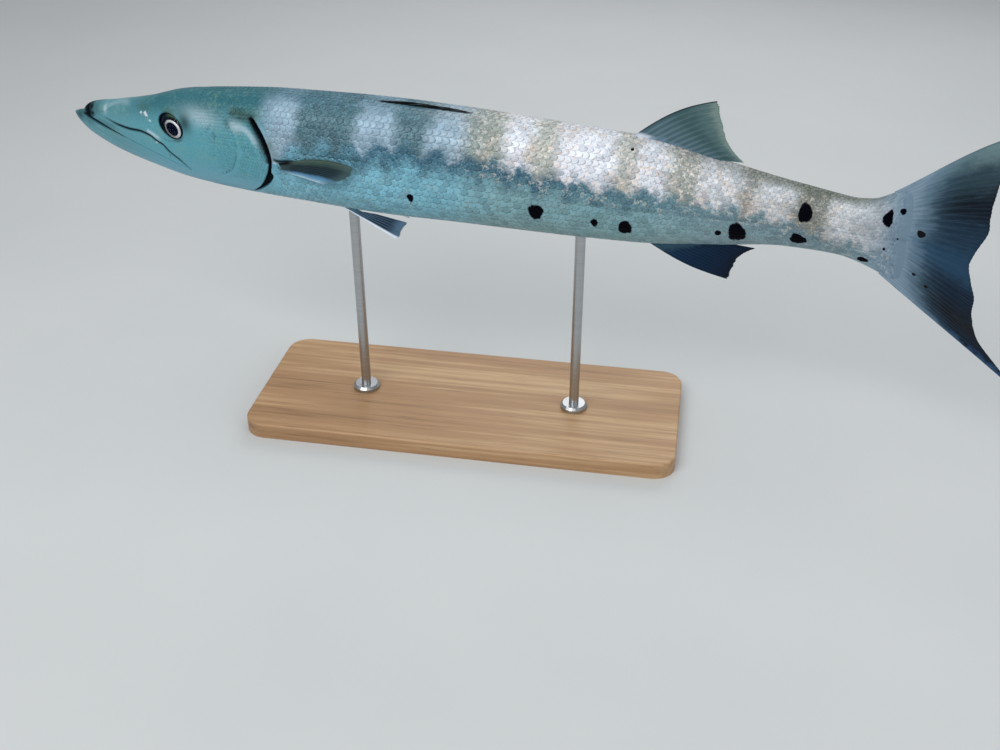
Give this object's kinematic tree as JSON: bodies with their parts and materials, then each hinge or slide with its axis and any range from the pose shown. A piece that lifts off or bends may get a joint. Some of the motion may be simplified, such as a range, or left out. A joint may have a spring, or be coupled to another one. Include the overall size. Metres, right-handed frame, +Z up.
{
  "type": "great barracuda display model",
  "caption": "Life-size great barracuda in a swimming pose, held by two short rods on a flat base.",
  "frame": {"origin": "middle of the stand base's underside", "axes": "+X runs from the head to the tail along the middle of the body, +Y is the fish's right side, +Z is up"},
  "size_m": [0.9956, 0.19, 0.4043],
  "materials": {
    "skin": "silver grey scaled fish skin, satin and slightly wet",
    "fin": "dark thin fin web over fine rays",
    "eye": "glossy eye with a pale ring",
    "base": "matt painted board",
    "rod": "satin steel rod"
  },
  "bodies": {
    "root": {"head": "skin", "lower_jaw": "skin", "gill_cover_left": "skin", "gill_cover_right": "skin", "trunk_front": "skin", "trunk_middle": "skin", "trunk_rear": "skin", "tail_peduncle": "skin", "eye_left": "eye", "eye_right": "eye", "fin_dorsal_first": "fin", "fin_dorsal_second": "fin", "fin_anal": "fin", "fin_caudal": "fin", "fin_pectoral_left": "fin", "fin_pectoral_right": "fin", "fin_pelvic_left": "fin", "fin_pelvic_right": "fin", "stand_base": "base", "stand_rod_front": "rod", "stand_rod_rear": "rod"}
  },
  "joints": []
}
